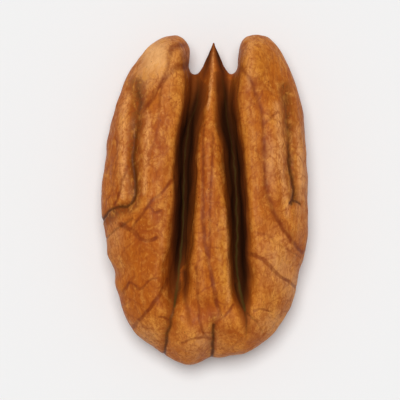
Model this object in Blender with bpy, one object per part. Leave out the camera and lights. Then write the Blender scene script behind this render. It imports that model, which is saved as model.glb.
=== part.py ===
"""One half of a shelled pecan kernel, lying on its inner face with its grooved back up.

+X is to the right and +Y towards the pointed tip of the seed, seen from above. +Z is up.
The origin is under the middle of the half, on the surface that it lies on.
Run it with: blender --background --python part.py
"""

from typing import NamedTuple

import bmesh
import bpy
import numpy as np

MM = 0.001

# Driving sizes, in millimetres
LENGTH = 30.0
WIDTH = 18.8
THICKNESS = 8.45

# The half is drawn 33 units long, lying flat, and is brought to its real size at the end.
# All that follows is in units of that drawing.
DRAWN_SIZE = (20.7, 33.0)
BACK_HEIGHT = 9.3  # the highest part of the grooved back
RIM_HEIGHT = 4.0  # the widest line round the half
SIDE_ROUND = 6.6  # how far in from the rim the back keeps rising
UNDER_ROUND = 4.6  # how far in from the rim the inner face keeps falling
GAP_ROUND = 1.2  # rounding beside the two gaps at the tip
POINT_ROUND = 2.2  # and beside the point between them
LOBE_ROUND = 3.2  # rounding at the top of each lobe, where the outer edge meets a gap
CORNER_SOFTENING = 8  # how often the back is rubbed down, each time a little more
MEETING_SHARPNESS = 24  # of the seam where the rounding of the outer edge meets that of a gap
FLOOR_HALF_WIDTH = 0.35  # of the bed of each groove
WALL_ROUNDNESS = 2.2  # 1 is a straight wall from the bed to the lobe, and more rolls over at the lip
FOOT_CUT = 0.07  # what the two flat feet take off the cheeks of the inner face

# How finely the half is worked out
MAP_STEP = 0.1
SKIN_STEP = 0.22
TRIANGLES = 10800

# The outer edge, clockwise from the top of the right lobe to the top of the left one
OUTER_EDGE = [
    (4.8, 16.5), (6.3, 16.1), (7.5, 14.9), (8.5, 12.8), (9.3, 10.5), (9.85, 7.9), (10.1, 5.0),
    (10.15, 2.0), (10.25, -1.2), (10.3, -3.6), (10.0, -5.5), (9.45, -7.0), (9.1, -8.6),
    (8.7, -10.2), (7.9, -11.9), (6.7, -13.5), (5.1, -14.7), (3.1, -15.45), (1.3, -15.75),
    (0.55, -15.7), (0.1, -16.0), (-1.2, -16.5), (-2.7, -16.15), (-4.4, -15.2), (-6.3, -13.9),
    (-7.5, -12.3), (-8.2, -10.4), (-8.75, -8.6), (-8.85, -7.3), (-9.25, -6.5), (-9.65, -5.4),
    (-9.95, -3.3), (-10.25, -1.3), (-10.3, 0.6), (-10.0, 2.8), (-9.75, 4.9), (-9.3, 7.7),
    (-8.55, 10.0), (-7.75, 12.0), (-6.85, 13.7), (-5.8, 15.0), (-4.55, 16.0), (-3.2, 16.45),
]
# The edge of the left gap, from the top of the left lobe to the point of the tip
LEFT_GAP = [
    (-3.2, 16.45), (-2.3, 16.25), (-1.8, 15.7), (-1.52, 14.9), (-1.58, 14.0), (-1.58, 13.3),
    (-1.4, 12.8), (-0.95, 12.5), (-0.5, 12.85), (0.0, 13.65), (0.45, 14.65), (0.7, 15.5), (0.85, 16.6),
]
# The edge of the right gap, from the point of the tip to the top of the right lobe
RIGHT_GAP = [
    (0.85, 16.6), (1.0, 15.5), (1.25, 14.65), (1.8, 13.65), (2.25, 12.85), (2.65, 12.5), (3.05, 12.8),
    (3.17, 13.4), (3.22, 14.2), (3.3, 14.9), (3.5, 15.6), (3.95, 16.2), (4.8, 16.5),
]

# Lines that run along the back, as the x of each at a y
LEFT_LIP = [(-9.2, -3.9), (-6.6, -3.9), (-4.6, -3.6), (-2.0, -3.25), (0.0, -2.9), (2.6, -2.7),
            (5.0, -2.75), (7.0, -2.4), (9.4, -1.95), (12.2, -1.7), (16.0, -1.5)]
LEFT_FLOOR = [(-10.6, -3.0), (-8.6, -2.75), (-6.6, -2.55), (-2.0, -2.15), (2.0, -2.1), (4.0, -2.15),
              (7.4, -1.7), (10.0, -1.3), (13.0, -0.95), (16.0, -0.9)]
LEFT_SHOULDER = [(-10.6, -1.5), (-8.6, -1.35), (-5.0, -1.15), (-2.0, -0.95), (2.6, -0.8), (4.6, -0.7),
                 (6.6, -0.45), (8.4, -0.05), (10.4, 0.5), (12.6, 0.85), (16.0, 0.85)]
RIGHT_SHOULDER = [(-10.6, 2.9), (-9.0, 2.6), (-6.0, 2.5), (-3.0, 2.3), (0.0, 1.95), (3.0, 1.5),
                  (5.8, 1.3), (9.0, 1.0), (12.6, 0.9), (16.0, 0.85)]
RIGHT_FLOOR = [(-10.6, 3.9), (-9.0, 3.5), (-7.0, 3.25), (-4.0, 3.15), (-0.6, 3.3), (3.4, 3.05),
               (5.8, 2.95), (7.4, 2.7), (9.0, 2.45), (12.4, 2.65), (16.0, 2.7)]
RIGHT_LIP = [(-10.0, 4.5), (-8.2, 4.75), (-4.6, 4.5), (0.4, 4.15), (3.0, 3.85), (5.4, 3.45),
             (7.0, 3.15), (8.6, 2.9), (11.8, 2.95), (16.0, 3.3)]

# How far out over its lobe the lip of a groove rounds off, at a y
LIP_ROLL = [(-10.0, 1.3), (-7.0, 0.9), (-5.0, 0.55), (-2.0, 0.25), (4.0, 0.35), (9.0, 0.25), (12.0, 0.3)]

# Heights along the back, as the z of each at a y
RIDGE_TOP = [(-12.0, 8.0), (-9.0, 8.45), (-4.0, 8.7), (1.0, 8.5), (5.0, 7.9), (8.0, 7.0), (11.0, 5.9),
             (13.5, 5.0), (15.6, 4.3)]
GROOVE_FLOOR = [(-12.4, 8.6), (-11.0, 7.6), (-9.0, 6.0), (-7.0, 4.9), (-4.0, 4.3), (0.0, 4.0),
                (5.0, 3.8), (9.0, 3.5), (12.4, 3.3), (16.0, 3.3)]

# The hollow that the partition of the shell leaves along the inner face: its height and half width
HOLLOW = [(-16.5, 1.5), (-14.0, 1.2), (-10.0, 1.4), (-4.0, 1.8), (3.0, 2.0), (9.0, 1.9), (12.5, 1.9),
          (15.6, 2.9)]
HOLLOW_HALF_WIDTH = [(-14.0, 1.8), (-8.0, 2.6), (0.0, 3.3), (8.0, 3.4), (12.5, 3.6), (15.6, 3.8)]


class Fold(NamedTuple):
    """A furrow along a line, or a swelling where its depth is below 0."""

    depth: float
    half_width: float
    bank: float  # how high the skin swells on both sides of it
    line: list


class Bump(NamedTuple):
    """A soft rise of the back."""

    x: float
    y: float
    reach_x: float
    reach_y: float
    height: float


LEFT_FOLD = [(-6.35, 10.4), (-6.55, 9.2), (-6.75, 7.6), (-6.95, 5.4), (-7.1, 3.8), (-6.9, 2.4),
             (-6.85, 0.9), (-7.05, -0.3), (-7.6, -0.8), (-8.5, -0.9), (-9.2, -1.25), (-9.8, -2.2),
             (-10.3, -2.9)]
RIGHT_FOLD = [(7.85, 10.4), (8.0, 9.2), (8.2, 7.8), (8.35, 6.2), (8.3, 4.6), (8.45, 3.0), (8.75, 1.6),
              (8.8, 0.2), (8.6, -0.4)]
BACK_FOLDS = [
    # The fold of the left lobe: a slit in a soft valley, with a dimple at its head and a roll outside it
    Fold(0.7, 0.32, 0.1, LEFT_FOLD),
    Fold(0.55, 1.05, 0.0, [(-6.7, 11.2), (-6.8, 9.0), (-6.85, 6.0), (-7.05, 3.2), (-7.05, -0.2)]),
    Fold(0.35, 0.7, 0.0, [(-6.6, 11.4), (-6.9, 10.4), (-7.0, 9.4)]),
    Fold(-0.3, 0.7, 0.0, [(-7.9, 10.0), (-8.3, 7.6), (-8.4, 5.0), (-8.2, 2.4)]),
    # Two short ones below it, which run out over the rim
    Fold(0.32, 0.28, 0.06, [(-7.7, -1.6), (-8.4, -2.4), (-9.1, -3.2), (-10.2, -4.2)]),
    Fold(0.3, 0.8, 0.0, [(-10.2, -6.6), (-9.0, -7.2), (-8.2, -8.0), (-7.6, -9.2)]),
    # The fold of the right lobe, also a slit in a valley, and the hook at its foot
    Fold(0.7, 0.3, 0.1, RIGHT_FOLD),
    Fold(0.5, 0.85, 0.0, [(7.7, 11.6), (8.0, 9.4), (8.3, 6.6), (8.5, 3.4), (8.8, 0.6)]),
    Fold(0.4, 0.28, 0.06, [(8.4, -0.35), (8.8, -0.1), (9.2, -0.25), (9.5, -0.5)]),
    # The swelling and the long furrow beside it
    Fold(-0.25, 1.1, 0.0, [(6.6, 9.4), (7.0, 6.0), (7.1, 2.4), (7.6, -0.6)]),
    Fold(0.25, 0.6, 0.0, [(4.3, 11.6), (5.5, 9.0), (5.8, 5.0), (6.0, 1.0), (6.8, -1.6), (8.3, -3.8),
                          (9.6, -5.2)]),
    # Where both grooves run out towards the base
    Fold(0.5, 0.36, 0.08, [(-2.6, -8.4), (-2.95, -10.2), (-3.4, -12.0), (-3.75, -13.6), (-4.1, -15.6)]),
    Fold(0.55, 0.4, 0.06, [(3.2, -8.4), (3.5, -9.8), (4.0, -11.4), (4.25, -12.6)]),
    Fold(0.2, 0.3, 0.04, [(4.1, -11.4), (5.0, -12.3), (5.8, -13.6)]),
    # The strands of the ridge, and the cleft of the base
    Fold(0.4, 0.45, 0.06, [(-1.8, -7.4), (-1.7, -9.2), (-1.5, -11.0), (-1.2, -12.6)]),
    Fold(0.3, 0.5, 0.06, [(0.0, -2.0), (0.35, -5.5), (0.9, -8.6), (1.3, -11.0), (1.0, -12.6)]),
    Fold(0.2, 0.4, 0.04, [(-0.7, -9.6), (-0.5, -12.0), (0.3, -13.6)]),
    Fold(0.8, 0.3, 0.06, [(0.9, -12.2), (0.85, -13.6), (0.8, -15.0), (0.6, -16.4)]),
    Fold(0.35, 0.9, 0.0, [(0.85, -13.0), (0.8, -14.8), (0.6, -16.4)]),
]
BUMPS = [
    Bump(-5.7, 6.4, 0.8, 1.1, 0.25), Bump(-5.8, 3.4, 0.8, 1.3, 0.2), Bump(-6.0, 0.4, 0.8, 0.9, 0.2),
    Bump(-8.5, -1.9, 0.8, 0.6, 0.3), Bump(-8.3, 8.4, 0.6, 0.8, 0.12), Bump(-8.5, 4.0, 0.6, 0.9, 0.14),
    Bump(7.3, 6.4, 0.7, 1.0, 0.15), Bump(7.6, 3.2, 0.7, 0.9, 0.18), Bump(7.9, 0.6, 0.7, 0.8, 0.2),
    Bump(9.3, 3.4, 0.5, 0.8, 0.22), Bump(9.2, 6.2, 0.5, 0.9, 0.15), Bump(9.5, 1.0, 0.5, 0.7, 0.15),
    Bump(-0.9, -14.9, 1.5, 0.9, 0.25), Bump(2.6, -13.4, 1.2, 1.2, 0.22), Bump(-5.6, -11.0, 1.4, 1.6, 0.15),
    Bump(-4.6, 12.6, 1.2, 2.0, 0.15), Bump(5.2, 13.4, 1.2, 1.8, 0.12), Bump(6.6, -6.4, 1.6, 1.4, 0.15),
]
UNDER_FOLDS = [
    Fold(0.5, 0.6, 0.12, [(-10.6, -2.6), (-8.8, -2.0), (-7.6, -2.0), (-6.6, -2.5)]),
    Fold(0.45, 0.55, 0.12, [(-10.0, -6.7), (-8.2, -6.3), (-6.6, -6.9), (-5.6, -8.4)]),
    Fold(0.35, 0.6, 0.1, [(-9.4, 8.6), (-7.6, 8.2), (-6.0, 7.6), (-5.0, 8.0)]),
    Fold(0.45, 0.6, 0.12, [(10.6, -0.8), (8.8, -0.9), (7.6, -0.5), (6.8, 0.4)]),
    Fold(0.4, 0.6, 0.1, [(9.8, -8.0), (7.8, -7.4), (6.2, -7.8), (5.4, -9.2)]),
    Fold(0.35, 0.55, 0.1, [(9.2, 11.2), (7.4, 10.2), (6.0, 9.4), (5.4, 8.0)]),
    Fold(0.5, 0.6, 0.05, [(0.6, -16.6), (0.7, -14.8), (0.9, -13.2), (0.7, -11.6)]),
]


def along(keys, y):
    """A smooth curve through (y, value) keys, read at each y."""
    at, value = np.array(keys).T
    slope = np.gradient(value, at)
    span = np.clip(np.searchsorted(at, y) - 1, 0, len(at) - 2)
    width = at[span + 1] - at[span]
    t = np.clip((y - at[span]) / width, 0, 1)
    return (
        value[span] * (1 + 2 * t) * (1 - t) ** 2
        + value[span + 1] * t * t * (3 - 2 * t)
        + width * t * (1 - t) * (slope[span] * (1 - t) - slope[span + 1] * t)
    )


def smooth_line(points, per_span=6):
    """An open curve through the points, which turns evenly at each of them."""
    points = np.array(points, float)
    ends = np.vstack([2 * points[0] - points[1], points, 2 * points[-1] - points[-2]])
    t = np.arange(per_span)[:, None] / per_span
    spans = []
    for a, b, c, d in zip(ends, ends[1:], ends[2:], ends[3:]):
        spans.append(0.5 * (2 * b + (c - a) * t + (2 * a - 5 * b + 4 * c - d) * t**2
                            + (3 * b - a - 3 * c + d) * t**3))
    return np.vstack([*spans, points[-1:]])


def distance_to(line, x, y):
    """How far each point lies from the line, and how far along it the nearest point is, from 0 to 1."""
    nearest = np.full(x.shape, np.inf)
    share = np.zeros(x.shape)
    lengths = np.hypot(*np.diff(line, axis=0).T)
    start = np.concatenate([[0], np.cumsum(lengths)])
    for i, ((ax, ay), (bx, by)) in enumerate(zip(line, line[1:])):
        t = ((x - ax) * (bx - ax) + (y - ay) * (by - ay)) / lengths[i] ** 2
        t = np.clip(t, 0, 1)
        away = np.hypot(x - ax - t * (bx - ax), y - ay - t * (by - ay))
        closer = away < nearest
        nearest = np.where(closer, away, nearest)
        share = np.where(closer, (start[i] + t * lengths[i]) / start[-1], share)
    return nearest, share


def inside_of(loop, x, y):
    """Which points lie inside the closed line."""
    inside = np.zeros(x.shape, bool)
    for (ax, ay), (bx, by) in zip(loop, np.roll(loop, -1, axis=0)):
        crosses = (ay > y) != (by > y)
        if ay != by:
            inside ^= crosses & (x < ax + (y - ay) * (bx - ax) / (by - ay))
    return inside


def blurred(field, rounds):
    """The field with its corners softened, as fine paper would rub them."""
    for _ in range(rounds):
        padded = np.pad(field, 1, mode="edge")
        field = (padded[:-2, 1:-1] + padded[2:, 1:-1] + 2 * padded[1:-1, 1:-1]) / 4
        padded = np.pad(field, 1, mode="edge")
        field = (padded[1:-1, :-2] + padded[1:-1, 2:] + 2 * padded[1:-1, 1:-1]) / 4
    return field


def lower_of(a, b, blend):
    """The lower of two surfaces, with a rounded meeting of that width."""
    near = np.maximum(blend - np.abs(a - b), 0) / blend
    return np.minimum(a, b) - near * near * blend / 4


def ease(t):
    t = np.clip(t, 0, 1)
    return t * t * (3 - 2 * t)


def edge_line():
    """The outer edge and the edge of the two gaps, which together close round the half."""
    gaps = np.vstack([smooth_line(LEFT_GAP)[:-1], smooth_line(RIGHT_GAP)])
    return smooth_line(OUTER_EDGE), gaps


def back_relief(x, y):
    """The height of the grooved back, away from the rim."""
    lobes = BACK_HEIGHT - 1.1 * np.abs((y + 1) / 16) ** 2.4
    lobes = lobes - 0.7 * (np.maximum(5.4 - np.abs(x - 0.4), 0) / 2.6) ** 2 * ease((y + 13) / 5)
    ridge = along(RIDGE_TOP, y)
    floor = along(GROOVE_FLOOR, y)
    crested = ease((y - 2.0) / 6.0)  # how much the ridge is a sharp crest, as it is near the point
    relief = lobes.copy()
    for lip, bed, shoulder, side in (
        (LEFT_LIP, LEFT_FLOOR, LEFT_SHOULDER, -1),
        (RIGHT_LIP, RIGHT_FLOOR, RIGHT_SHOULDER, 1),
    ):
        lip_x, bed_x, shoulder_x = along(lip, y), along(bed, y), along(shoulder, y)
        off_bed = np.maximum(np.abs(x - bed_x) - FLOOR_HALF_WIDTH, 0)
        wall_width = np.abs(lip_x - bed_x) - FLOOR_HALF_WIDTH + along(LIP_ROLL, y)
        wall = 1 - (1 - np.clip(off_bed / wall_width, 0, 1)) ** WALL_ROUNDNESS
        up_flank = np.clip(off_bed / (np.abs(shoulder_x - bed_x) - FLOOR_HALF_WIDTH), 0, 1)
        flank = up_flank * crested + ease(up_flank) * (1 - crested)
        on_wall = side * (x - bed_x) > 0
        on_flank = ~on_wall & (side * (x - shoulder_x) >= 0)
        relief = np.where(on_wall, floor + (lobes - floor) * wall, relief)
        relief = np.where(on_flank, floor + (ridge - floor) * flank, relief)
    left, right = along(LEFT_SHOULDER, y), along(RIGHT_SHOULDER, y)
    half = np.maximum((right - left) / 2, 0.05)
    across = np.clip(1 - ((x - (left + right) / 2) / half) ** 2, 0, 1)
    relief = np.where((x > left) & (x < right), ridge + 0.3 * across * np.minimum(half, 1), relief)
    # Below the grooves the ridge and both lobes run together into the rounded base
    return relief + (lobes - relief) * ease((-y - 9.0) / 4.0)


def folded(relief, folds, x, y):
    """The relief with each fold pressed into it and its banks raised."""
    for fold in folds:
        away, share = distance_to(smooth_line(fold.line, 4), x, y)
        away = away / fold.half_width
        fade = np.sin(np.pi * np.clip(share, 0.03, 0.97)) ** 0.5
        banks = fold.bank * np.exp(-(((away - 3) / 1.8) ** 2))
        relief = relief + fade * (banks - fold.depth * np.exp(-(away**2)))
    return relief


def bumped(relief, x, y):
    """The relief with its soft bumps raised."""
    for bump in BUMPS:
        away = np.hypot((x - bump.x) / bump.reach_x, (y - bump.y) / bump.reach_y)
        relief = relief + bump.height * np.exp(-(away**2))
    return relief


def under_relief(x, y):
    """The height of the inner face, away from the rim: two cheeks with a hollow between them."""
    rise = along(HOLLOW, y)
    half = along(HOLLOW_HALF_WIDTH, y)
    off = np.abs(x - 0.4 - 0.3 * np.sin(y / 5))
    bowl = ease(1.25 - off / half)
    keel = 0.2 * np.exp(-((off / 0.8) ** 2)) * ease((y + 12) / 6)
    cheeks = 0.6 * (y / 14) ** 2 + 0.35 * (np.minimum(off - 5.2, 2.2) / 2) ** 2
    return (rise - keel) * bowl + cheeks * (1 - bowl) - FOOT_CUT


class Relief:
    """The half as four maps over its plan: rim closeness, rim height, and the rise and fall from the rim."""

    def __init__(self):
        size = np.array(DRAWN_SIZE) + 2
        self.low = -size / 2
        across, up = np.ceil(size / MAP_STEP).astype(int) + 1
        x, y = np.meshgrid(
            self.low[0] + MAP_STEP * np.arange(across), self.low[1] + MAP_STEP * np.arange(up)
        )
        outer, gaps = edge_line()
        inside = inside_of(np.vstack([outer, gaps[1:-1]]), x, y)
        to_outer, outer_share = distance_to(outer, x, y)
        to_gaps, gap_share = distance_to(gaps, x, y)
        beyond_outer = ~inside & (to_outer <= to_gaps)
        beyond_gaps = ~inside & (to_outer > to_gaps)
        to_outer = np.where(beyond_outer, -to_outer, to_outer)
        to_gaps = np.where(beyond_gaps, -to_gaps, to_gaps)

        back = bumped(folded(back_relief(x, y), BACK_FOLDS, x, y), x, y)
        back = blurred(back, CORNER_SOFTENING)
        under = blurred(-folded(-under_relief(x, y), UNDER_FOLDS, x, y), CORNER_SOFTENING)
        rim = RIM_HEIGHT + 0.3 * np.sin(0.45 * y + 0.12 * x)
        self.rim = lower_of(rim, (back + under) / 2, 1.0)
        self.rise = back - self.rim
        self.fall = self.rim - under
        near_lobe = ease(1 - np.minimum(outer_share, 1 - outer_share) / 0.09)
        gap_round = GAP_ROUND + (POINT_ROUND - GAP_ROUND) * ease(1 - np.abs(gap_share - 0.5) / 0.16)
        gap_round += (LOBE_ROUND - GAP_ROUND) * ease(1 - np.minimum(gap_share, 1 - gap_share) / 0.2)
        side_round = SIDE_ROUND + (LOBE_ROUND - SIDE_ROUND) * near_lobe
        under_round = UNDER_ROUND + (LOBE_ROUND - UNDER_ROUND) * near_lobe
        self.close_above = self.closeness(to_outer / side_round, to_gaps / gap_round)
        self.close_below = self.closeness(to_outer / under_round, to_gaps / gap_round)

    @staticmethod
    def closeness(outer, gaps):
        """1 on the edge and 0 where the rounding beside it has ended."""
        a, b = np.maximum(1 - outer, 0), np.maximum(1 - gaps, 0)
        return (a**MEETING_SHARPNESS + b**MEETING_SHARPNESS) ** (1 / MEETING_SHARPNESS)

    def read(self, field, points):
        """The map's value at each point, between its nearest four."""
        place = (points[:, :2] - self.low) / MAP_STEP
        top = np.array(field.shape[::-1]) - 1.001
        place = np.clip(place, 0, top)
        i, j = place.astype(int).T
        u, v = (place - np.floor(place)).T
        return (
            field[j, i] * (1 - u) * (1 - v) + field[j, i + 1] * u * (1 - v)
            + field[j + 1, i] * (1 - u) * v + field[j + 1, i + 1] * u * v
        )

    def height(self, points, above):
        """The height of the skin over each point, on the back or on the inner face."""
        closeness = self.read(self.close_above if above else self.close_below, points)
        reach = np.sqrt(np.clip(1 - closeness**2, 0, 1))
        rim = self.read(self.rim, points)
        if above:
            return rim + reach * self.read(self.rise, points)
        return rim - reach * self.read(self.fall, points)

    def depth(self, points):
        """Below 0 inside the half, 0 on its skin and above 0 outside it."""
        above = points[:, 2] > self.read(self.rim, points)
        level = np.abs(points[:, 2] - self.read(self.rim, points))
        level = level / np.where(above, self.read(self.rise, points), self.read(self.fall, points))
        closeness = np.where(
            above, self.read(self.close_above, points), self.read(self.close_below, points)
        )
        return np.hypot(closeness, level) - 1


def points_of(mesh):
    points = np.empty(len(mesh.vertices) * 3)
    mesh.vertices.foreach_get("co", points)
    return points.reshape(-1, 3) / MM


def place_points(mesh, points):
    mesh.vertices.foreach_set("co", (points * MM).ravel())
    mesh.update()


def with_modifier(obj, kind, **settings):
    """The object's mesh after one modifier, which is applied."""
    modifier = obj.modifiers.new(kind.title(), kind)
    for name, value in settings.items():
        setattr(modifier, name, value)
    graph = bpy.context.evaluated_depsgraph_get()
    made = bpy.data.meshes.new_from_object(obj.evaluated_get(graph))
    obj.modifiers.clear()
    old, obj.data = obj.data, made
    bpy.data.meshes.remove(old)


def plate(name):
    """A flat plate with the edge of the half, which the skin is then raised from."""
    outer, gaps = edge_line()
    loop = np.vstack([outer, gaps[1:-1]])[::-1]
    shape = bmesh.new()
    corners = [shape.verts.new((x * MM, y * MM, (RIM_HEIGHT - 0.5) * MM)) for x, y in loop]
    face = shape.faces.new(corners)
    lifted = bmesh.ops.extrude_face_region(shape, geom=[face])["geom"]
    bmesh.ops.translate(shape, vec=(0, 0, MM), verts=[v for v in lifted if isinstance(v, bmesh.types.BMVert)])
    bmesh.ops.recalc_face_normals(shape, faces=shape.faces)
    mesh = bpy.data.meshes.new(name)
    shape.to_mesh(mesh)
    shape.free()
    obj = bpy.data.objects.new(name, mesh)
    bpy.context.scene.collection.objects.link(obj)
    return obj


def raise_skin(mesh, relief):
    """Moves the plate's upper side up to the back and its lower side down to the inner face."""
    points = points_of(mesh)
    above = points[:, 2] > RIM_HEIGHT
    points[:, 2] = np.where(above, relief.height(points, True), relief.height(points, False))
    place_points(mesh, points)


def settle(mesh, relief, rounds=8, probe=0.02, longest_move=0.2):
    """Evens out the mesh and draws each of its points onto the skin."""
    points = points_of(mesh)
    ends = np.empty(len(mesh.edges) * 2, int)
    mesh.edges.foreach_get("vertices", ends)
    first, second = ends.reshape(-1, 2).T
    count = np.bincount(ends, minlength=len(points))[:, None]
    for _ in range(rounds):
        total = np.zeros_like(points)
        for axis in range(3):
            total[:, axis] = np.bincount(first, points[second, axis], len(points))
            total[:, axis] += np.bincount(second, points[first, axis], len(points))
        points = points / 2 + total / count / 2
        for _ in range(2):
            here = relief.depth(points)
            slope = np.stack(
                [(relief.depth(points + step) - relief.depth(points - step)) / (2 * probe)
                 for step in probe * np.eye(3)], axis=1
            )
            move = -here[:, None] * slope / np.maximum((slope**2).sum(axis=1), 1e-6)[:, None]
            length = np.maximum(np.linalg.norm(move, axis=1), 1e-9)[:, None]
            points += move * np.minimum(1, longest_move / length)
    place_points(mesh, points)


def fit_to_size(mesh):
    """Brings the drawn half to its real size, with its origin in the middle of where it stands."""
    points = points_of(mesh)
    low, high = points.min(axis=0), points.max(axis=0)
    middle = (low + high) / 2
    points[:, :2] = (points[:, :2] - middle[:2]) * [WIDTH, LENGTH] / (high - low)[:2]
    points[:, 2] *= THICKNESS / high[2]
    place_points(mesh, points)


def cut_feet(mesh):
    """Cuts the cheeks of the inner face flat where the half stands on them."""
    shape = bmesh.new()
    shape.from_mesh(mesh)
    everything = [*shape.verts, *shape.edges, *shape.faces]
    bmesh.ops.bisect_plane(
        shape, geom=everything, dist=1e-7, plane_co=(0, 0, 0), plane_no=(0, 0, -1), clear_outer=True
    )
    bmesh.ops.holes_fill(shape, edges=[e for e in shape.edges if e.is_boundary], sides=0)
    bmesh.ops.triangulate(shape, faces=[f for f in shape.faces if len(f.verts) > 3])
    shape.to_mesh(mesh)
    shape.free()


def skin_material():
    """The thin tan-brown skin of the seed, waxy and a little oily."""
    material = bpy.data.materials.new("kernel_skin")
    material.use_nodes = True
    surface = material.node_tree.nodes["Principled BSDF"]
    surface.inputs["Base Color"].default_value = (0.45, 0.17, 0.045, 1)
    surface.inputs["Roughness"].default_value = 0.5
    surface.inputs["Metallic"].default_value = 0
    return material


def build():
    for obj in list(bpy.data.objects):
        bpy.data.objects.remove(obj)
    relief = Relief()
    half = plate("kernel_half")
    with_modifier(half, "REMESH", mode="VOXEL", voxel_size=SKIN_STEP * MM)
    raise_skin(half.data, relief)
    with_modifier(half, "REMESH", mode="VOXEL", voxel_size=SKIN_STEP * MM)
    settle(half.data, relief)
    triangles = sum(len(face.vertices) - 2 for face in half.data.polygons)
    with_modifier(half, "DECIMATE", ratio=TRIANGLES / triangles)
    settle(half.data, relief, rounds=4)
    fit_to_size(half.data)
    cut_feet(half.data)
    half.data.materials.append(skin_material())
    half.data.shade_smooth()


build()
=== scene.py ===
# %% [markdown]
# # The back of a shelled pecan half
#
# A pecan kernel splits into two halves. Each has a rounded back with two deep grooves, where the
# ribs of the shell ran, and a hollowed inner face. A thin brown skin covers it all, and the dark
# strands that fed the seed branch through that skin. This lesson takes the plain solid of the half
# and gives it that skin: a finer surface, creases, sunken veins, wrinkles and a layered colour.

# %% The frame and what is needed
import math
import random
from typing import NamedTuple

import bmesh
import bpy
import numpy as np
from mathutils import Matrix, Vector, noise
from mathutils.bvhtree import BVHTree
from mathutils.kdtree import KDTree


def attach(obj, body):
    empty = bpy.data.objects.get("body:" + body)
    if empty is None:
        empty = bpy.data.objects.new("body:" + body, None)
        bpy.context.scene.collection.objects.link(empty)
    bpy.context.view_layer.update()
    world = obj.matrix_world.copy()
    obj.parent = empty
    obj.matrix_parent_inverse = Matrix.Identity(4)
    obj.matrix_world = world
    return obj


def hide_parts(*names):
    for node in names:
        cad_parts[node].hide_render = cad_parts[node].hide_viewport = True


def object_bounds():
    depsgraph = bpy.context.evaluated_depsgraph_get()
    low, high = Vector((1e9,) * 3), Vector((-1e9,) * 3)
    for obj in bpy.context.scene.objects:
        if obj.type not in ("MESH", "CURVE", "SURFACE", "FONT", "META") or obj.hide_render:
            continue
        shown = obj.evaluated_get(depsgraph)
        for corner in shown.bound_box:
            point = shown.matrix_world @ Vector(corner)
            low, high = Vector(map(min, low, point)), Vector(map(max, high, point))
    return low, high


MM = 0.001  # one millimetre, in metres

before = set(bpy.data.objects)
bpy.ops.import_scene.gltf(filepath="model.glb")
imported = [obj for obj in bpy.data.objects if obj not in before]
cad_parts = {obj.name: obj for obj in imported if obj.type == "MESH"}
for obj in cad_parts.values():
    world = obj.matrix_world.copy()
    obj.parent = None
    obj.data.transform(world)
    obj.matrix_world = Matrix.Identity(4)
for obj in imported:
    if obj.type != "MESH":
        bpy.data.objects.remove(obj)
plain_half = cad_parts["kernel_half"]
cad_low, cad_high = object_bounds()
cad_size = cad_high - cad_low
print("plain half, in mm:", [round(side / MM, 2) for side in cad_size])

# %% [markdown]
# ## A unit to draw in
#
# The creases and veins are drawn on the half as it is seen from above. It helps to draw them in
# units that don't depend on the size of the nut, so here the half is 33 units long and 20.7 wide,
# and one pair of numbers brings a drawn place to its real one. The nut can then be made larger
# or smaller and every line stays in its place.

# %% The drawing units
DRAWN_SIZE = (20.7, 33.0)

UNIT_X = cad_size.x / DRAWN_SIZE[0]
UNIT = cad_size.y / DRAWN_SIZE[1]
print("one drawn unit, in mm:", round(UNIT / MM, 3))

# %% [markdown]
# ## The camera
#
# The half lies on its inner face, so the camera looks straight down on its back, with the
# pointed end at the top of the picture. A long lens from far away keeps the sides as narrow as
# they are in a product picture. The distance follows from the width that the picture takes in
# at the height of the rim, where the outline lies.

# %% The camera
PICTURE_WIDTH = 40.0  # in drawn units
PICTURE_MIDDLE = (-0.45, 0.0)
RIM_HEIGHT = 0.43  # of the half's height
LENS = 300.0
SENSOR = 36.0
NEAREST = 0.01  # in metres, well short of the half

camera = bpy.data.objects.new("camera", bpy.data.cameras.new("camera"))
bpy.context.collection.objects.link(camera)
camera.data.lens = LENS
camera.data.sensor_width = SENSOR
camera.data.clip_start = NEAREST
camera.location = (
    PICTURE_MIDDLE[0] * UNIT,
    PICTURE_MIDDLE[1] * UNIT,
    cad_size.z * RIM_HEIGHT + PICTURE_WIDTH * UNIT * LENS / SENSOR,
)
bpy.context.scene.camera = camera
print("camera height, in mm:", round(camera.location.z / MM, 1))

# %% [markdown]
# ## Light and ground
#
# A pale sheet and one wide, soft light from above the pointed end give the calm look of a
# product picture. A sun lamp with a large angle does this well: its shadow is sharp where the
# half touches the ground and fades a little way off. The sky adds the rest from all sides, so
# the grooves stay dark but not black.


# %% Colours as they show on a screen
def screen(red, green, blue):
    """A colour as it shows on a screen, from 0 to 255, as the light values that a shader takes."""
    parts = [value / 255 for value in (red, green, blue)]
    return (*(part / 12.92 if part < 0.04 else ((part + 0.055) / 1.055) ** 2.4 for part in parts), 1.0)


GROUND_COLOUR = screen(240, 240, 240)
print("ground colour, as light:", round(GROUND_COLOUR[0], 3))

# %% The light
SUN_FROM = (-0.05, 0.24, 1.25)
SUN_ANGLE = 30.0  # in degrees, how wide the sun looks
SUN_STRENGTH = 2.4
SKY_STRENGTH = 0.27
SKY_COLOUR = (1.0, 1.0, 1.0, 1.0)

scene = bpy.context.scene
scene.view_settings.view_transform = "Standard"
sun = bpy.data.objects.new("soft_sun", bpy.data.lights.new("soft_sun", "SUN"))
scene.collection.objects.link(sun)
sun.data.energy = SUN_STRENGTH
sun.data.angle = math.radians(SUN_ANGLE)
sun.rotation_euler = Vector(SUN_FROM).to_track_quat("Z", "Y").to_euler()

scene.world = bpy.data.worlds.new("pale_sky")
scene.world.use_nodes = True
sky = scene.world.node_tree.nodes["Background"]
sky.inputs["Color"].default_value = SKY_COLOUR
sky.inputs["Strength"].default_value = SKY_STRENGTH
print("sun from", SUN_FROM, "with a strength of", SUN_STRENGTH)

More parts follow.
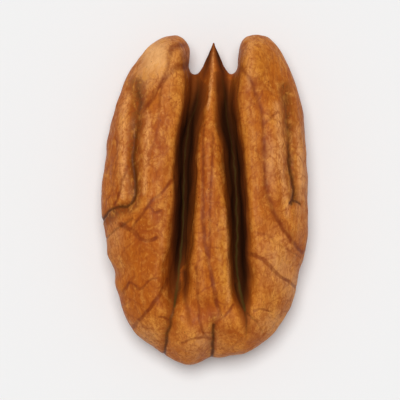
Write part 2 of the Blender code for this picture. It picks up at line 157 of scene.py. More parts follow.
# %% The ground
GROUND_SIZE = 0.6  # in metres
GROUND_ROUGHNESS = 0.9

sheet = bmesh.new()
bmesh.ops.create_grid(sheet, x_segments=1, y_segments=1, size=GROUND_SIZE / 2)
ground = bpy.data.objects.new("ground", bpy.data.meshes.new("ground"))
sheet.to_mesh(ground.data)
sheet.free()
scene.collection.objects.link(ground)
paper = bpy.data.materials.new("pale_paper")
paper.use_nodes = True
paper_shader = paper.node_tree.nodes["Principled BSDF"]
paper_shader.inputs["Base Color"].default_value = GROUND_COLOUR
paper_shader.inputs["Roughness"].default_value = GROUND_ROUGHNESS
ground.data.materials.append(paper)
print("ground:", GROUND_SIZE, "m across")

# %% [markdown]
# ## A finer surface
#
# The plain half has flat triangles about half a millimetre across. Its form is right, but veins
# need points four times closer. Sculptors remesh for this: the shape is filled with small
# cubes and wrapped again in even squares. Subdividing first rounds the flat triangles off, and a
# few rounds of smoothing take away the steps that the cubes leave.


# %% The fine mesh
def after_modifier(mesh, kind, **settings):
    """The mesh as one modifier leaves it."""
    holder = bpy.data.objects.new("holder", mesh)
    scene.collection.objects.link(holder)
    modifier = holder.modifiers.new(kind, kind)
    for name, value in settings.items():
        setattr(modifier, name, value)
    graph = bpy.context.evaluated_depsgraph_get()
    made = bpy.data.meshes.new_from_object(holder.evaluated_get(graph))
    bpy.data.objects.remove(holder)
    bpy.data.meshes.remove(mesh)
    return made


MERGE = 0.001 * MM
CUBE = 0.16 * UNIT

merged = bmesh.new()
merged.from_mesh(plain_half.data)
bmesh.ops.remove_doubles(merged, verts=merged.verts, dist=MERGE)
skin_mesh = bpy.data.meshes.new("pecan_half")
merged.to_mesh(skin_mesh)
merged.free()
skin_mesh.materials.clear()
skin_mesh = after_modifier(skin_mesh, "SUBSURF", levels=1, render_levels=1)
skin_mesh = after_modifier(skin_mesh, "REMESH", mode="VOXEL", voxel_size=CUBE)
print("fine mesh:", len(skin_mesh.vertices), "points,", len(skin_mesh.polygons), "squares")

# %% [markdown]
# Smoothing shrinks what is thin, and the thinnest place is the pointed end. So the points near it
# are drawn out again until the point is as long as the solid's, the nearest ones most.

# %% Smoothing, and the point drawn out again
SMOOTHING_ROUNDS = 4
SMOOTHING = 0.5
TIP_REACH, TIP_LENGTH = 1.6, 2.6  # in drawn units

smoothed = bmesh.new()
smoothed.from_mesh(skin_mesh)
for _ in range(SMOOTHING_ROUNDS):
    bmesh.ops.smooth_vert(
        smoothed, verts=smoothed.verts, factor=SMOOTHING, use_axis_x=True, use_axis_y=True, use_axis_z=True
    )
tip_length = TIP_LENGTH * UNIT
plain_tip = max(vert.co.y for vert in plain_half.data.vertices if abs(vert.co.x) < TIP_REACH * UNIT)
near_tip = [vert for vert in smoothed.verts if vert.co.y > plain_tip - tip_length]
near_tip = [vert for vert in near_tip if abs(vert.co.x) < TIP_REACH * UNIT]
lost = plain_tip - max(vert.co.y for vert in near_tip)
for vert in near_tip:
    share = 1.0 - (plain_tip - vert.co.y) / tip_length
    vert.co.y += lost * (share / (1.0 - lost / tip_length)) ** 2
smoothed.to_mesh(skin_mesh)
smoothed.free()
print("the point was drawn out again by", round(lost / MM, 2), "mm")


# %% Its points as arrays
def points_of(mesh):
    """Where the points of the mesh are, one row each."""
    flat = np.empty(len(mesh.vertices) * 3, np.float32)
    mesh.vertices.foreach_get("co", flat)
    return flat.reshape(-1, 3).astype(float)


def place_points(mesh, points):
    """Moves the points of the mesh to these places."""
    mesh.vertices.foreach_set("co", points.astype(np.float32).ravel())
    mesh.update()


def directions_of(mesh):
    """The way out of the skin at each point."""
    flat = np.empty(len(mesh.vertices) * 3, np.float32)
    mesh.vertex_normals.foreach_get("vector", flat)
    return flat.reshape(-1, 3).astype(float)


points = points_of(skin_mesh)
outward = directions_of(skin_mesh)
drawn = points[:, :2] / (UNIT_X, UNIT)
print("points as an array:", points.shape)

# %% Their neighbours, and which points are on the back
edge_ends = np.empty(len(skin_mesh.edges) * 2, np.int32)
skin_mesh.edges.foreach_get("vertices", edge_ends)
one_end, other_end = edge_ends.reshape(-1, 2).T
neighbours = np.bincount(edge_ends, minlength=len(skin_mesh.vertices)) + 1.0


def shared(values, rounds):
    """Each point's value averaged with its neighbours' this often, which smooths it along the skin."""
    for _ in range(rounds):
        total = values.copy()
        total += np.bincount(one_end, values[other_end], len(values))
        total += np.bincount(other_end, values[one_end], len(values))
        values = total / neighbours
    return values


def ease(values, start, end):
    """0 before the start, 1 past the end, and a smooth rise between."""
    share = np.clip((values - start) / (end - start), 0.0, 1.0)
    return share * share * (3.0 - 2.0 * share)


FACING_ROUNDS = 6
BACK_FROM, BACK_WHOLE = -0.35, 0.05  # how far up the skin faces, from -1 to 1

on_back = ease(shared(outward[:, 2], FACING_ROUNDS), BACK_FROM, BACK_WHOLE)
print("share of the skin on the back:", round(float(on_back.mean()), 2))

# %% [markdown]
# ## Lines on the skin
#
# Creases and veins are lines seen from above. Each is drawn as a few points, joined by a curve
# that passes through them all, and every point of the skin then asks for the nearest line. The
# answer falls evenly from 1 on the line to 0 at its reach. Such an even slope stays crisp
# between the points of a mesh, so a shader can draw a sharp line from it, and the same numbers
# sink the line into the skin. A slight warp of the place makes the lines as uneven as grown ones.


# %% Smooth lines
class Line(NamedTuple):
    """A line on the skin: its width and mark at its start, its width at its end, its points and its fade."""

    width: float
    mark: float
    end_width: float
    points: list
    fade: float = 1.0  # how much of the mark is left at the end


LINE_STEP = 0.06  # in drawn units


def smooth_line(points):
    """Points along the curve through these, at even small steps."""
    route = np.array(points, float)
    padded = np.vstack([2 * route[0] - route[1], route, 2 * route[-1] - route[-2]])
    pieces = []
    for before, start, end, after in zip(padded, padded[1:], padded[2:], padded[3:]):
        steps = max(2, int(np.hypot(*(end - start)) / LINE_STEP))
        share = np.linspace(0.0, 1.0, steps, endpoint=False)[:, None]
        bend = (2 * before - 5 * start + 4 * end - after) * share**2
        twist = (-before + 3 * start - 3 * end + after) * share**3
        pieces.append(start + 0.5 * ((end - before) * share + bend + twist))
    return np.vstack([*pieces, route[-1:]])


print("points on a line 3 units long:", len(smooth_line([(0.0, 0.0), (3.0, 0.0)])))

# %% Uneven places, and the line nearest to each
WARP = 0.11  # in drawn units, as the next
WARP_SIZE = 0.8
WARP_SEED = 3  # without one, each run would push the lines differently


def warped(places):
    """The drawn places, pushed about a little so that lines aren't too smooth."""
    moved = []
    for x, y in places:
        push = noise.noise_vector((x / WARP_SIZE, y / WARP_SIZE, 0.0))
        moved.append((x + WARP * push.x, y + WARP * push.y, 0.0))
    return moved


def nearness(places, lines):
    """1 on a line and 0 at its width from it, times its mark, for each place."""
    traced = []
    for line in lines:
        route = smooth_line(line.points)
        widths = np.linspace(line.width, line.end_width, len(route))
        marks = line.mark * np.linspace(1.0, line.fade, len(route))
        traced += [(x, y, width, mark) for (x, y), width, mark in zip(route, widths, marks)]
    tree = KDTree(len(traced))
    for index, (x, y, _, _) in enumerate(traced):
        tree.insert((x, y, 0.0), index)
    tree.balance()
    found = np.zeros(len(places))
    for number, place in enumerate(places):
        _, index, distance = tree.find(place)
        width, mark = traced[index][2:]
        found[number] = mark * max(0.0, 1.0 - distance / width)
    return found


noise.seed_set(WARP_SEED)
places = warped(drawn)
print("warped", len(places), "places")

# %% [markdown]
# ## Creases
#
# The solid already has the deep grooves and folds. On a real half the bottom of each fold is
# a thin slit, far narrower than the solid's triangles, so the creases are cut again here as
# narrow lines along the same routes. Their dark colour is partly the skin's own and partly
# painted shade.

# %% The creases of the back
BACK_CREASES = [
    Line(0.55, 0.5, 0.4, [(-6.7, 10.6), (-6.35, 9.6), (-6.5, 8.2), (-6.8, 6.6)], 0.8),
    Line(0.36, 0.6, 0.3, [(-6.8, 6.6), (-6.95, 5.4), (-7.1, 3.8), (-6.9, 2.4), (-6.85, 0.9)], 1.5),
    Line(0.3, 0.85, 0.22, [(-6.85, 0.9), (-7.05, -0.1), (-7.65, -0.65), (-8.5, -0.8), (-9.3, -1.0),
                           (-9.9, -1.7), (-10.3, -2.6)]),
    Line(0.5, 0.35, 0.4, [(7.8, 10.4), (8.1, 8.4), (8.3, 6.4), (8.3, 4.6)], 1.6),
    Line(0.32, 0.8, 0.28, [(8.3, 4.6), (8.45, 3.0), (8.75, 1.6), (8.8, 0.2), (8.6, -0.4)]),
    Line(0.26, 0.9, 0.2, [(8.4, -0.35), (8.8, -0.1), (9.2, -0.25), (9.5, -0.5)]),
    Line(0.3, 0.5, 0.24, [(-7.2, -1.9), (-8.2, -2.6), (-9.1, -3.2), (-9.9, -3.9)]),
    Line(0.3, 0.6, 0.24, [(-2.5, -8.2), (-2.95, -10.2), (-3.4, -12.0), (-3.75, -13.6), (-4.1, -15.6)], 1.5),
    Line(0.34, 0.9, 0.2, [(3.2, -8.4), (3.5, -9.8), (4.0, -11.4), (4.1, -12.6), (4.05, -13.8)], 0.45),
    Line(0.26, 0.6, 0.2, [(4.1, -11.2), (4.6, -11.6), (5.3, -12.35), (5.9, -13.5)], 0.6),
    Line(0.24, 0.3, 0.2, [(-1.8, -7.6), (-1.7, -9.2), (-1.5, -11.0), (-1.2, -12.6)]),
    Line(0.27, 0.9, 0.24, [(0.85, -12.4), (0.8, -13.6), (0.75, -15.0), (0.6, -16.4)]),
]
crease = nearness(places, BACK_CREASES) * on_back
print("creases:", len(BACK_CREASES), "with", int((crease > 0.05).sum()), "points in them")

# %% [markdown]
# ## Lines that only colour
#
# Four kinds of line change no shape. Wide bands lie in the two grooves, nearly black: partly
# the darker skin there, partly painted shade. A thin olive line runs along the bed of each and
# along the ridge. Valleys beside the creases get painted shade, and rolls on the raised skin a
# painted highlight.

# %% The olive lines
GROOVE_BEDS = [
    Line(0.27, 0.5, 0.26, [(-0.75, 12.4), (-0.7, 10.4), (-0.9, 9.0), (-1.6, 7.4), (-2.05, 4.0), (-2.1, 2.0),
                           (-2.2, -2.0), (-2.55, -6.6), (-2.75, -8.6), (-3.0, -10.6)], 1.8),
    Line(0.27, 0.5, 0.26, [(1.7, 12.4), (2.1, 9.0), (2.6, 5.8), (2.95, 3.4), (3.15, -0.6), (3.2, -4.0),
                           (3.2, -7.0), (3.5, -9.0), (3.95, -11.0)], 1.8),
    Line(0.2, 0.6, 0.2, [(-0.12, 7.0), (-0.16, 5.0), (-0.2, 2.0), (-0.18, -1.5), (-0.07, -3.7)], 0.6),
]
bed = nearness(places, GROOVE_BEDS) * on_back
print("points on an olive line:", int((bed > 0.05).sum()))

# %% The dark bands of the grooves: darker skin and painted shade
GROOVE_SHADE_BANDS = [
    Line(1.8, 0.35, 1.4, [(-0.9, 13.4), (-0.75, 11.6), (-0.85, 10.4), (-1.15, 9.0), (-1.65, 7.0)], 2.85),
    Line(1.4, 1.0, 1.25, [(-1.65, 7.0), (-1.95, 4.0), (-2.05, 1.0), (-2.3, -2.0), (-2.45, -4.0)]),
    Line(1.3, 1.0, 1.1, [(-2.45, -4.0), (-2.65, -6.0), (-2.9, -8.4), (-3.1, -11.0)], 0.25),
    Line(0.6, 0.5, 0.5, [(-2.1, -7.2), (-1.95, -8.6), (-1.8, -10.2), (-1.6, -12.0)], 0.5),
    Line(1.7, 0.45, 1.35, [(1.7, 13.4), (1.85, 11.6), (2.1, 10.4), (2.1, 9.0), (2.35, 7.0)], 2.2),
    Line(1.35, 1.0, 1.25, [(2.35, 7.0), (2.9, 4.0), (3.1, 1.0), (3.3, -2.0), (3.5, -5.0), (3.6, -7.5)]),
    Line(1.3, 1.0, 0.9, [(3.6, -7.5), (3.75, -9.5), (4.0, -11.5), (4.2, -13.0)], 0.25),
    Line(0.9, 0.4, 0.45, [(-0.2, 12.4), (0.3, 14.0), (0.6, 15.6)], 1.9),
    Line(0.9, 0.55, 0.45, [(1.9, 12.4), (1.4, 14.0), (1.1, 15.6)], 1.4),
]
groove_shade_band = nearness([(x, y, 0.0) for x, y in drawn], GROOVE_SHADE_BANDS) * on_back
print("share of the skin in the dark bands:", round(float((groove_shade_band > 0.25).mean()), 3))

# %% Painted shade in the valleys and painted highlights on the rolls
SHADED_VALLEYS = [
    Line(1.4, 1.0, 1.1, [(-6.7, 11.6), (-6.6, 9.6), (-6.8, 7.6), (-7.0, 5.4), (-7.1, 3.0), (-6.95, 0.6),
                         (-7.3, -0.6), (-8.6, -1.1), (-9.8, -2.0)]),
    Line(1.1, 1.0, 0.9, [(7.9, 11.2), (8.15, 9.0), (8.35, 6.2), (8.5, 3.0), (8.8, 0.0)]),
    Line(0.9, 0.5, 0.7, [(5.9, 5.2), (5.9, 2.4), (6.3, 0.2), (7.3, -1.8), (8.6, -3.6)]),
    Line(1.0, 0.7, 0.7, [(-2.9, -8.6), (-3.2, -10.4), (-3.7, -12.6), (-4.1, -15.2)]),
    Line(1.0, 0.8, 0.6, [(0.85, -11.8), (0.8, -13.6), (0.6, -16.2)]),
]
HIGHLIGHT_ROLLS = [
    Line(0.9, 0.5, 0.7, [(4.6, 16.0), (4.4, 13.6), (4.3, 11.0)]),
    Line(0.9, 0.7, 0.7, [(-7.7, 10.4), (-8.0, 8.6), (-8.1, 6.4), (-8.15, 4.0), (-8.0, 1.6), (-8.2, 0.3)]),
    Line(0.8, 0.7, 0.6, [(-5.6, 8.4), (-5.7, 6.0), (-5.8, 3.0), (-6.0, 0.6)]),
    Line(0.8, 0.7, 0.6, [(7.1, 9.4), (7.3, 6.6), (7.5, 3.6), (7.9, 0.8), (8.2, -1.6)]),
    Line(0.6, 0.7, 0.5, [(9.1, 7.0), (9.4, 4.0), (9.6, 1.4)]),
    Line(0.5, 0.35, 0.4, [(-3.5, 3.0), (-3.8, 0.0), (-4.1, -3.0), (-4.2, -6.0)]),
    Line(0.7, 0.5, 0.5, [(1.9, -1.0), (2.2, -4.5), (2.4, -7.5), (2.3, -10.0)]),
    Line(0.25, 1.0, 0.25, [(0.85, 15.5), (0.75, 13.6), (0.6, 11.4), (0.3, 9.0)]),
]
valley_shade = nearness(places, SHADED_VALLEYS) * on_back
roll_highlight = nearness(places, HIGHLIGHT_ROLLS) * on_back
print("valleys:", len(SHADED_VALLEYS), "and rolls:", len(HIGHLIGHT_ROLLS))

# %% [markdown]
# ## Veins
#
# The strands run from the pointed end and from the grooves out towards the rim, and fork on the
# way. The main ones are drawn one by one, because their routes give a nut its face. Their side
# twigs are grown by a rule: every so often a twig leaves at an angle, wanders a little and thins
# out. The draws have a fixed seed, so the same twigs grow each time.

# %% The main veins of the left lobe
STRONG, PLAIN, FAINT = 1.0, 0.75, 0.5

LEFT_VEINS = [
    Line(0.6, PLAIN, 0.5, [(-2.1, 15.4), (-3.3, 14.9), (-3.75, 12.9), (-4.6, 11.0), (-5.55, 9.5),
                           (-6.0, 8.8)]),
    Line(0.62, STRONG, 0.46, [(-1.9, 13.3), (-2.95, 12.95), (-3.7, 12.2), (-4.1, 11.6)], 0.6),
    Line(0.4, FAINT, 0.3, [(-4.1, 11.8), (-4.5, 9.6), (-4.6, 7.2), (-5.15, 5.2), (-5.65, 3.4)]),
    Line(0.4, PLAIN, 0.26, [(-2.95, 2.2), (-4.35, 0.6), (-5.15, 0.0), (-6.15, -1.4), (-7.25, -2.8)]),
    Line(0.28, PLAIN, 0.2, [(-4.35, -1.1), (-4.95, -1.2), (-5.4, -0.6)]),
    Line(0.4, STRONG, 0.3, [(-8.4, -2.5), (-7.7, -2.8), (-7.0, -3.2), (-6.4, -3.8), (-5.5, -4.1),
                            (-4.7, -3.7)]),
    Line(0.32, PLAIN, 0.24, [(-7.95, -9.2), (-7.35, -8.2), (-6.55, -8.8), (-5.9, -8.4), (-5.3, -7.9),
                             (-4.75, -7.8)]),
    Line(0.4, STRONG, 0.28, [(-3.6, -8.0), (-4.25, -9.0), (-5.15, -10.4), (-6.15, -11.6), (-7.1, -12.7)]),
    Line(0.28, PLAIN, 0.2, [(-4.55, -11.6), (-4.0, -11.6), (-3.55, -11.9)]),
    Line(0.34, PLAIN, 0.24, [(-7.65, 3.2), (-8.15, 1.8), (-8.65, 0.2), (-9.05, -0.6)]),
    Line(0.3, FAINT, 0.2, [(-8.9, 6.4), (-8.7, 4.0), (-9.1, 1.6), (-9.6, 0.0)]),
]
print("veins of the left lobe:", len(LEFT_VEINS))

# %% The main veins of the ridge
MIDDLE_VEINS = [
    Line(0.34, PLAIN, 0.26, [(-0.85, -6.6), (-0.75, -8.2), (-0.65, -10.4), (-0.55, -12.0), (-0.15, -13.2),
                             (0.5, -13.8)]),
    Line(0.3, PLAIN, 0.24, [(-2.35, -14.2), (-1.15, -13.8), (0.25, -13.6)]),
    Line(0.3, PLAIN, 0.4, [(-0.1, 7.4), (-0.16, 5.0), (-0.2, 2.0), (-0.18, -1.5), (-0.07, -3.7),
                           (0.16, -5.4), (0.45, -6.6), (0.85, -8.3), (1.1, -10.0), (1.45, -11.4),
                           (0.9, -12.4)], 1.33),
    Line(0.26, PLAIN, 0.28, [(0.8, 6.6), (0.8, 5.2), (0.66, 2.6), (0.54, 0.3), (0.46, -3.1), (0.45, -6.2)]),
    Line(0.24, FAINT, 0.2, [(-0.75, 8.0), (-0.85, 5.0), (-1.0, 2.0), (-1.2, -2.0)]),
    Line(0.3, PLAIN, 0.24, [(2.85, -10.4), (2.05, -11.4), (1.45, -12.0)]),
]
print("veins of the ridge:", len(MIDDLE_VEINS))

# %% The main veins of the right lobe
RIGHT_VEINS = [
    Line(0.56, 0.6, 0.34, [(3.7, 13.0), (4.5, 11.8), (5.15, 10.2), (5.55, 8.6), (5.75, 7.2), (5.85, 5.0),
                           (5.85, 3.0), (6.15, 0.6), (6.65, -1.0), (7.65, -2.8), (8.65, -4.2),
                           (9.75, -5.3)], 1.5),
    Line(0.46, PLAIN, 0.3, [(5.75, 7.4), (6.45, 8.0), (7.25, 8.7)], 0.6),
    Line(0.34, FAINT, 0.26, [(5.05, 5.0), (5.75, 3.2), (5.95, 2.0)]),
    Line(0.36, STRONG, 0.26, [(4.3, -5.3), (5.4, -5.7), (6.3, -6.5), (7.3, -7.5), (8.2, -8.0), (9.0, -8.7)]),
    Line(0.4, FAINT, 0.26, [(4.85, -3.2), (6.2, -3.5), (7.2, -4.4), (8.2, -5.0), (9.4, -5.7)]),
    Line(0.3, PLAIN, 0.2, [(4.85, -11.0), (5.65, -10.8), (6.6, -11.2)]),
]
BACK_VEINS = LEFT_VEINS + MIDDLE_VEINS + RIGHT_VEINS
print("main veins on the back:", len(BACK_VEINS))

# %% Twigs that grow from them
TWIG_GAP = (0.7, 1.9)  # in drawn units, as the next two
TWIG_LENGTH = (0.9, 3.0)
TWIG_STEP = 0.3
TWIG_ANGLE = (35.0, 70.0)  # in degrees, as the next
TWIG_WANDER = 16.0
TWIG_WIDTH = 0.17
TWIG_END = 0.09
TWIG_MARK = (0.45, 0.8)


def wandering(start, heading, steps, step, draw, wander, bend=0.0):
    """The places passed by a strand that sets out this way, in degrees, and strays a little at each step."""
    x, y = start
    route = [(x, y)]
    for _ in range(steps):
        heading += draw.gauss(bend, wander)
        x += step * math.cos(math.radians(heading))
        y += step * math.sin(math.radians(heading))
        route.append((x, y))
    return route


def twigs_of(line, draw):
    """The twigs of one line: they leave on both sides in turn, wander and thin out."""
    route = smooth_line(line.points)
    side = draw.choice((-1, 1))
    here = draw.uniform(*TWIG_GAP)
    grown = []
    while here < (len(route) - 2) * LINE_STEP:
        index = int(here / LINE_STEP)
        along = route[index + 1] - route[index]
        heading = math.degrees(math.atan2(along[1], along[0])) + side * draw.uniform(*TWIG_ANGLE)
        steps = max(2, round(draw.uniform(*TWIG_LENGTH) / TWIG_STEP))
        twig = wandering(route[index], heading, steps, TWIG_STEP, draw, TWIG_WANDER)
        grown.append(Line(TWIG_WIDTH, draw.uniform(*TWIG_MARK), TWIG_END, twig))
        here += draw.uniform(*TWIG_GAP)
        side = -side
    return grown


draw = random.Random(11)
back_twigs = [twig for line in BACK_VEINS for twig in twigs_of(line, draw)]
back_twigs += [small for twig in back_twigs for small in twigs_of(twig, draw)]
print("twigs on the back:", len(back_twigs))

# %% [markdown]
# ## The inner face
#
# The face that lay against the other half is hollow along its middle, where a corky wall of the
# shell lay. Strands leave that hollow at uneven gaps, bend towards the pointed end and wander
# out over the cheeks. A rule draws them, with a fixed seed, and some fork like the twigs do.

# %% The veins of the inner face
CHEEK_ENDS = (-13.5, 9.0)  # in drawn units, as the next two
CHEEK_GAP = (1.2, 3.6)
CHEEK_START = (1.2, 3.8)
CHEEK_HEADING = (15.0, 50.0)  # in degrees, as the next two
CHEEK_BEND = 4.0
CHEEK_WANDER = 11.0
CHEEK_STEP = 0.8
CHEEK_STEPS = (4, 11)
CHEEK_WIDTH, CHEEK_END, CHEEK_FADE = 0.36, 0.2, 0.7
CHEEK_MARK = (0.5, 1.0)
HOLLOW = [Line(3.0, 1.0, 3.4, [(0.4, 11.5), (0.5, 6.0), (0.4, 0.0), (0.2, -6.0), (0.1, -12.5)])]
SEAM = [Line(0.34, 0.8, 0.24, [(0.6, 10.8), (0.3, 6.0), (0.5, 1.0), (0.05, -5.0), (0.25, -11.8)])]

draw = random.Random(5)
under_veins = []
for side in (-1, 1):
    here = CHEEK_ENDS[0] + draw.uniform(0.0, CHEEK_GAP[0])
    while here < CHEEK_ENDS[1]:
        heading = draw.uniform(*CHEEK_HEADING)
        start = (side * draw.uniform(*CHEEK_START), here)
        if side < 0:
            heading = 180.0 - heading
        steps = draw.randint(*CHEEK_STEPS)
        route = wandering(start, heading, steps, CHEEK_STEP, draw, CHEEK_WANDER, side * CHEEK_BEND)
        under_veins.append(Line(CHEEK_WIDTH, draw.uniform(*CHEEK_MARK), CHEEK_END, route, CHEEK_FADE))
        here += draw.uniform(*CHEEK_GAP)
under_twigs = [twig for line in under_veins for twig in twigs_of(line, draw)]
inner_face = 1.0 - on_back
hollow = nearness(places, HOLLOW) * inner_face
crease += nearness(places, SEAM) * inner_face
print("veins of the inner face:", len(under_veins), "with", len(under_twigs), "twigs")

# %% Veins and twigs at every point of the skin
vein = nearness(places, BACK_VEINS) * on_back + nearness(places, under_veins) * inner_face
twig = nearness(places, back_twigs) * on_back + nearness(places, under_twigs) * inner_face
print("points in a vein:", int((vein > 0.05).sum()), "and in a twig:", int((twig > 0.05).sum()))

# %% [markdown]
# ## Relief
#
# Now the points move along their own direction out of the skin. Creases and veins sink, and
# between them the skin keeps gentle hollows and swellings, with fine wrinkles that run
# lengthwise, as a skin that dried on the shrinking nut. A few low bulges give the rim its
# waves. All of it is small beside the folds of the solid, so the form stays as it is.


# %% Soft patches, for the bulges of the rim here and for colours below
class Patch(NamedTuple):
    """A soft patch of the skin: its middle, its reach across and along, and how strong it is."""

    x: float
    y: float
    across: float
    along: float
    strength: float


def patched(patches):
    """How much of these patches each point of the skin has."""
    total = np.zeros(len(drawn))
    for patch in patches:
        away = ((drawn[:, 0] - patch.x) / patch.across) ** 2 + ((drawn[:, 1] - patch.y) / patch.along) ** 2
        total += patch.strength * np.exp(-away)
    return np.clip(total, 0.0, 1.0) * on_back


RIM_BULGES = [
    Patch(-8.9, -8.6, 1.2, 0.9, 0.18), Patch(-8.0, -11.0, 1.3, 1.5, 0.24), Patch(-6.9, -13.2, 1.3, 1.1, 0.14),
    Patch(-8.0, 11.6, 1.2, 1.1, 0.2), Patch(-8.9, 9.6, 1.0, 0.8, 0.14), Patch(-9.8, 5.7, 0.9, 0.9, 0.17),
    Patch(-10.2, -1.9, 0.8, 0.8, 0.12), Patch(-9.7, -5.5, 0.8, 0.6, 0.14), Patch(4.0, -15.3, 1.2, 0.9, 0.2),
]
bulge = patched(RIM_BULGES)
print("highest bulge of the rim, in drawn units:", round(float(bulge.max()), 2))

# %% Sinking the lines and wrinkling the skin, in drawn units
CREASE_DEPTH = 0.13
VEIN_DEPTH = 0.035
TWIG_DEPTH = 0.01
SWELL_SIZE, SWELL_HEIGHT = 2.2, 0.15
RIPPLE_ACROSS, RIPPLE_ALONG, RIPPLE_HEIGHT = 0.9, 1.35, 0.05
WRINKLE_ACROSS, WRINKLE_ALONG, WRINKLE_HEIGHT = 0.45, 2.4, 0.028


def waves(places, size_across, size_along):
    """Soft noise at every point of the skin, with features of these drawn sizes."""
    scale = (1 / (size_across * UNIT), 1 / (size_along * UNIT), 1 / (size_across * UNIT))
    return np.array([noise.noise(place) for place in places * scale])


sink = CREASE_DEPTH * ease(crease, 0.0, 1.0) + VEIN_DEPTH * ease(vein, 0.0, 0.9)
sink += TWIG_DEPTH * ease(twig, 0.0, 0.8)
raised = bulge + SWELL_HEIGHT * waves(points, SWELL_SIZE, SWELL_SIZE)
raised += RIPPLE_HEIGHT * waves(points, RIPPLE_ACROSS, RIPPLE_ALONG)
raised += WRINKLE_HEIGHT * waves(points, WRINKLE_ACROSS, WRINKLE_ALONG)
points = points + outward * ((raised - sink) * UNIT)[:, None]

# The relief may not change the size of the nut, so its box is brought back to the solid's.
low, high = points.min(axis=0), points.max(axis=0)
points = np.array(cad_low) + (points - low) * (np.array(cad_size) / (high - low))
place_points(skin_mesh, points)
outward = directions_of(skin_mesh)
print("relief from", round(float((raised - sink).min()), 2), "to", round(float(raised.max()), 2), "units")

# %% [markdown]
# ## What the colour needs to know
#
# Painted shade goes where the skin is hidden and painted highlights go on its crests. Both can be
# measured on the mesh. Rays sent out from each point tell how much of the sky it sees, and a
# point that stands out from the average of its neighbours is on a crest. Soft patches are placed
# where a skin is golder or redder, and pale patches are painted highlights.

# %% How hidden each point is, for painted shade
RAY_LENGTH = 5.0 * UNIT
RAY_START = 0.12 * UNIT
RAYS = 28  # over a whole ball, so about half leave each point
GRAZING = 0.05  # flatter rays than this are left out
HIDDEN_ROUNDS = 3


def ray_ways(count):
    """Ways spread evenly over a ball, along a spiral from its foot to its top."""
    turn = math.pi * (3.0 - math.sqrt(5.0))
    ways = []
    for index in range(count):
        height = 1.0 - 2.0 * (index + 0.5) / count
        out = math.sqrt(1.0 - height * height)
        ways.append(Vector((out * math.cos(turn * index), out * math.sin(turn * index), height)))
    return ways


measured = bmesh.new()
measured.from_mesh(skin_mesh)
skin_tree = BVHTree.FromBMesh(measured)
measured.free()
ways = ray_ways(RAYS)
occlusion_shade = np.zeros(len(points))
for number, (place, out) in enumerate(zip(points, outward)):
    out = Vector(out)
    start = Vector(place) + out * RAY_START
    facing = [(way, way.dot(out)) for way in ways if way.dot(out) > GRAZING]
    blocked = sum(weight for way, weight in facing if skin_tree.ray_cast(start, way, RAY_LENGTH)[0])
    occlusion_shade[number] = blocked / sum(weight for _, weight in facing)
occlusion_shade = shared(occlusion_shade, HIDDEN_ROUNDS)
print("hidden up to", round(float(occlusion_shade.max()), 2), "mean", round(float(occlusion_shade.mean()), 3))

# %% How far each point stands out from its neighbours, for painted highlights
CREST_ROUNDS = 16
CREST_HEIGHT = 0.05 * UNIT

around = np.stack([shared(column, CREST_ROUNDS) for column in points.T], axis=1)
crest_highlight = np.einsum("ij,ij->i", points - around, outward) / CREST_HEIGHT
crest_highlight = shared(np.clip(crest_highlight, -1.0, 1.0), 1)
print("share of the skin on a crest:", round(float((crest_highlight > 0.3).mean()), 3))

# %% Patches of golden and of redder skin, and patches of painted highlight
GOLD_PATCHES = [
    Patch(1.9, -5.5, 0.7, 5.5, 0.9), Patch(4.4, 6.0, 0.7, 5.0, 0.35), Patch(-3.2, 12.0, 1.0, 3.0, 0.5),
    Patch(5.2, 13.5, 1.4, 2.4, 0.4), Patch(-3.6, 4.0, 0.7, 4.0, 0.3), Patch(-5.2, -13.2, 1.8, 1.4, 0.5),
    Patch(6.4, -10.0, 1.6, 2.6, 0.4),
]
RED_PATCHES = [
    Patch(0.0, 3.5, 0.8, 7.0, 0.9), Patch(-6.0, -7.0, 3.0, 4.5, 0.7), Patch(-0.2, -11.5, 1.6, 2.6, 0.7),
    Patch(4.8, -1.0, 0.9, 6.0, 0.4), Patch(-4.6, 5.0, 0.9, 4.5, 0.8), Patch(-8.9, 5.5, 0.6, 4.0, 0.4),
]
HIGHLIGHT_PATCHES = [
    Patch(-4.9, 14.2, 1.6, 2.2, 1.0), Patch(-6.3, 11.7, 0.9, 1.3, 0.4), Patch(6.8, -12.4, 1.8, 1.6, 0.4),
    Patch(7.2, -6.0, 1.5, 3.0, 0.45), Patch(9.6, 2.0, 0.6, 4.5, 0.4), Patch(-0.2, -14.2, 1.8, 1.4, 0.4),
    Patch(-9.0, -3.6, 0.9, 2.0, 0.3), Patch(8.8, -8.6, 0.9, 2.0, 0.35), Patch(-5.6, -13.4, 1.6, 1.2, 0.3),
    Patch(6.5, 3.5, 0.8, 2.6, 0.35),
]
print("patches:", len(GOLD_PATCHES + RED_PATCHES + HIGHLIGHT_PATCHES))

# %% Every map that the finish reads
SKIN_MAPS = {
    "vein": vein,
    "twig": twig,
    "crease": crease,
    "bed": bed,
    "groove_shade_band": groove_shade_band,
    "valley_shade": valley_shade,
    "roll_highlight": roll_highlight,
    "occlusion_shade": occlusion_shade,
    "crest_highlight": crest_highlight,
    "gold": patched(GOLD_PATCHES),
    "red": patched(RED_PATCHES),
    "pale_highlight": patched(HIGHLIGHT_PATCHES),
    "inner_face": inner_face,
    "hollow": hollow,
}
for name, values in SKIN_MAPS.items():
    layer = skin_mesh.attributes.new(name, "FLOAT", "POINT")
    layer.data.foreach_set("value", values.astype(np.float32))
print("maps on the skin:", ", ".join(SKIN_MAPS))

# %% [markdown]
# ## The skin's finish
#
# The colour is laid on one layer over the other: an uneven tan, warmer patches, painted
# highlights on crests, rolls and pale patches, painted shade in the valleys, a fine net and long
# grain, then twigs, veins and creases, and the dark of the grooves last, with painted shade where
# the skin is hidden; the creases and grooves are partly the skin's own dark, partly painted shade.
# Each layer is a mix whose amount comes from a noise or from a map of the mesh, so one finish
# serves the whole nut and every part of it looks different.

# %% A small helper for wiring a finish
FACTOR_IN, BELOW_IN, ABOVE_IN, COLOUR_OUT = 0, 6, 7, 2  # the Mix node's sockets for colours


